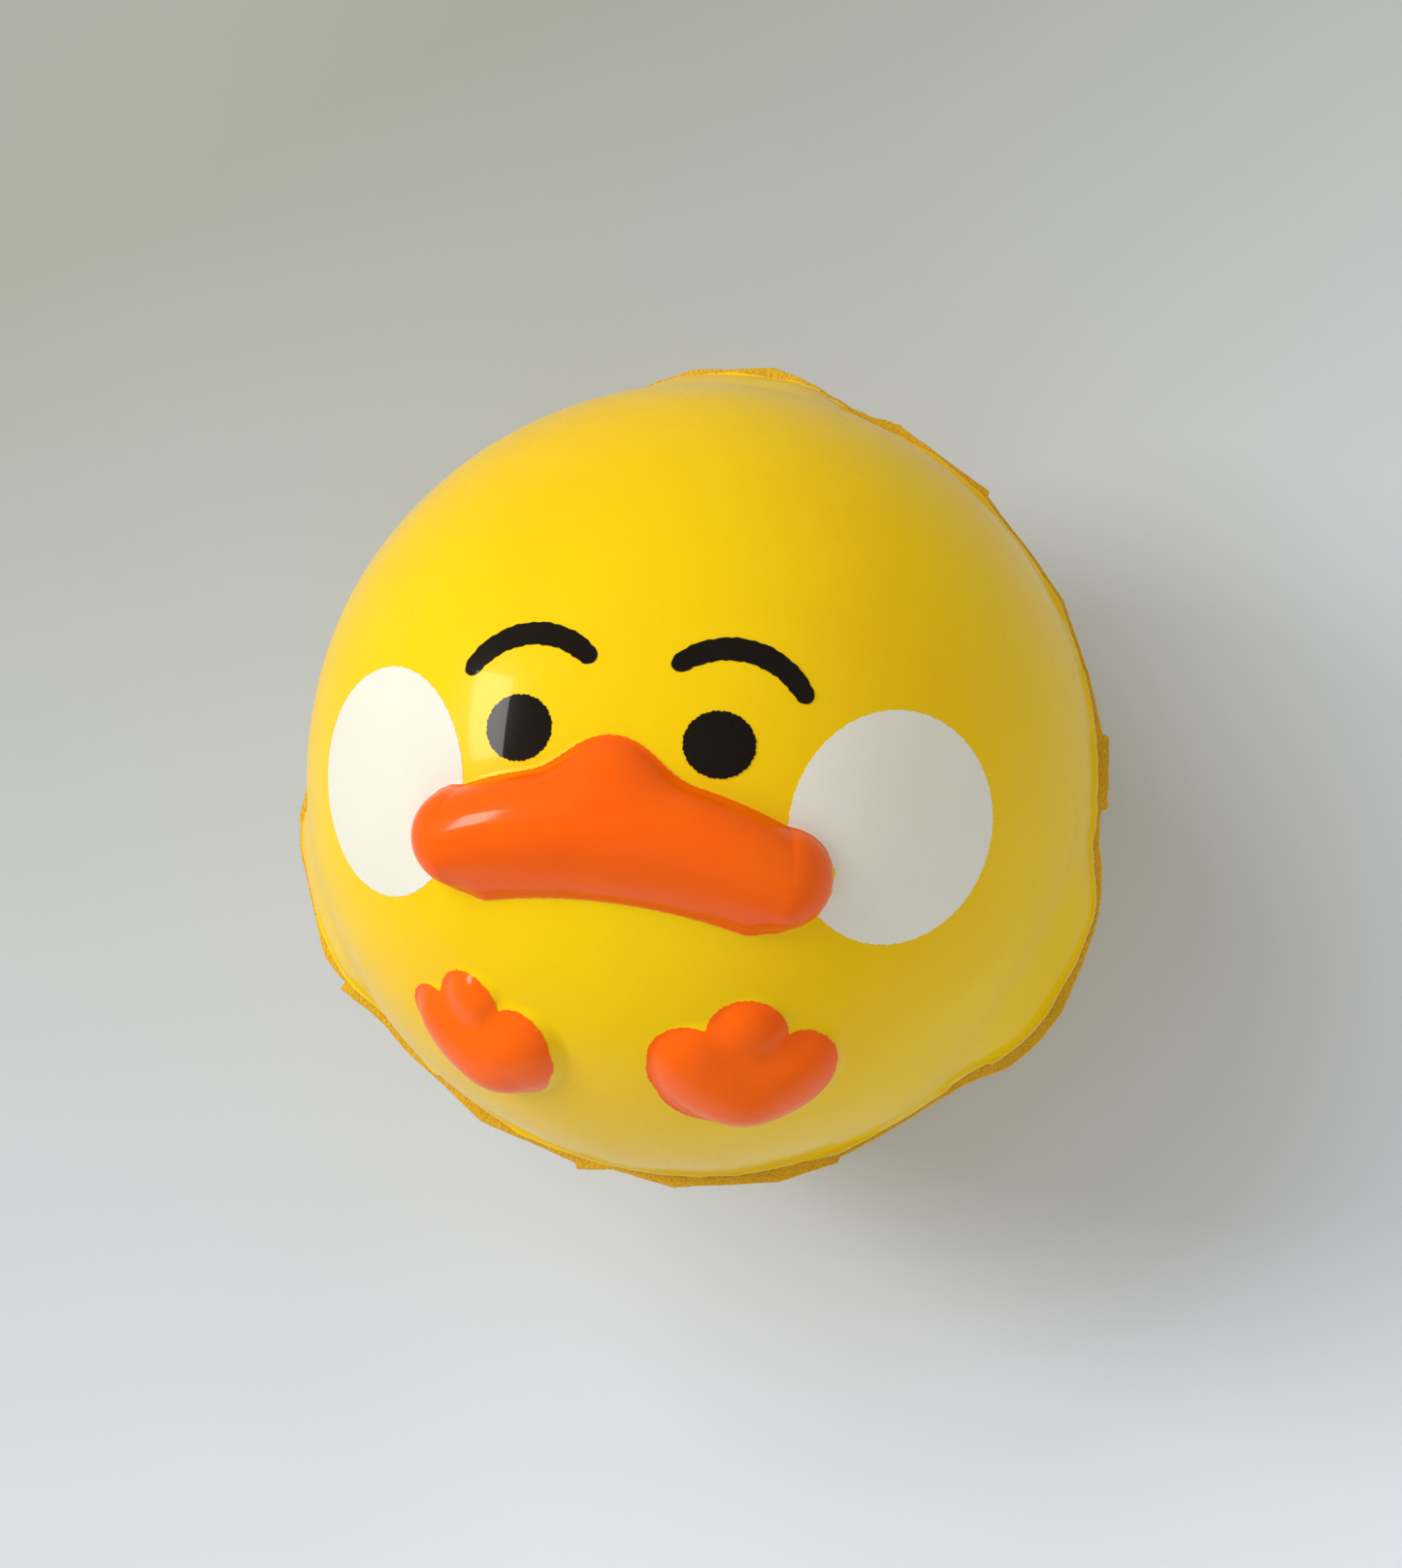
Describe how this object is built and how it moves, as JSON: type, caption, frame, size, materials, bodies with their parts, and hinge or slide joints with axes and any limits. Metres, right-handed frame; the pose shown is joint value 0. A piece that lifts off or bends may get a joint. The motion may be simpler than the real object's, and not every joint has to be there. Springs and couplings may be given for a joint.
{
  "type": "stress ball",
  "caption": "Soft foam squeeze ball shaped as a round duckling, with a glossy formed skin, raised bill and feet and a trimmed seam.",
  "frame": {"origin": "centre of the flat that the ball rests on, under the middle of its plain rear half", "axes": "+Z is the way the face looks, +Y is towards the top of the head, +X is the right of the face as it is looked at"},
  "size_m": [0.0657, 0.0669, 0.0648],
  "materials": {
    "foam": "slow-rebound polyurethane foam, fine open cells where it is cut",
    "front_film": "glossy formed film, printed yellow",
    "rear_film": "glossy formed film, plain yellow",
    "orange_print": "glossy printed ink on a raised shape",
    "white_print": "glossy printed ink",
    "black_print": "glossy printed ink with a faint dot edge"
  },
  "bodies": {
    "rear_half": {"rear_skin": "rear_film", "foam_core": "foam"},
    "front_half": {"front_skin": "front_film", "bill_print": "orange_print", "left_foot_print": "orange_print", "right_foot_print": "orange_print", "left_cheek_print": "white_print", "right_cheek_print": "white_print", "left_eye_print": "black_print", "right_eye_print": "black_print", "left_brow_print": "black_print", "right_brow_print": "black_print"}
  },
  "joints": [
    {"name": "squeeze", "type": "slide", "parent": "rear_half", "child": "front_half", "axis": [0, 0, -1], "range_m": [0, 0.026], "stiffness_N_per_m": 1000, "deforming": ["foam_core", "rear_skin"]}
  ]
}
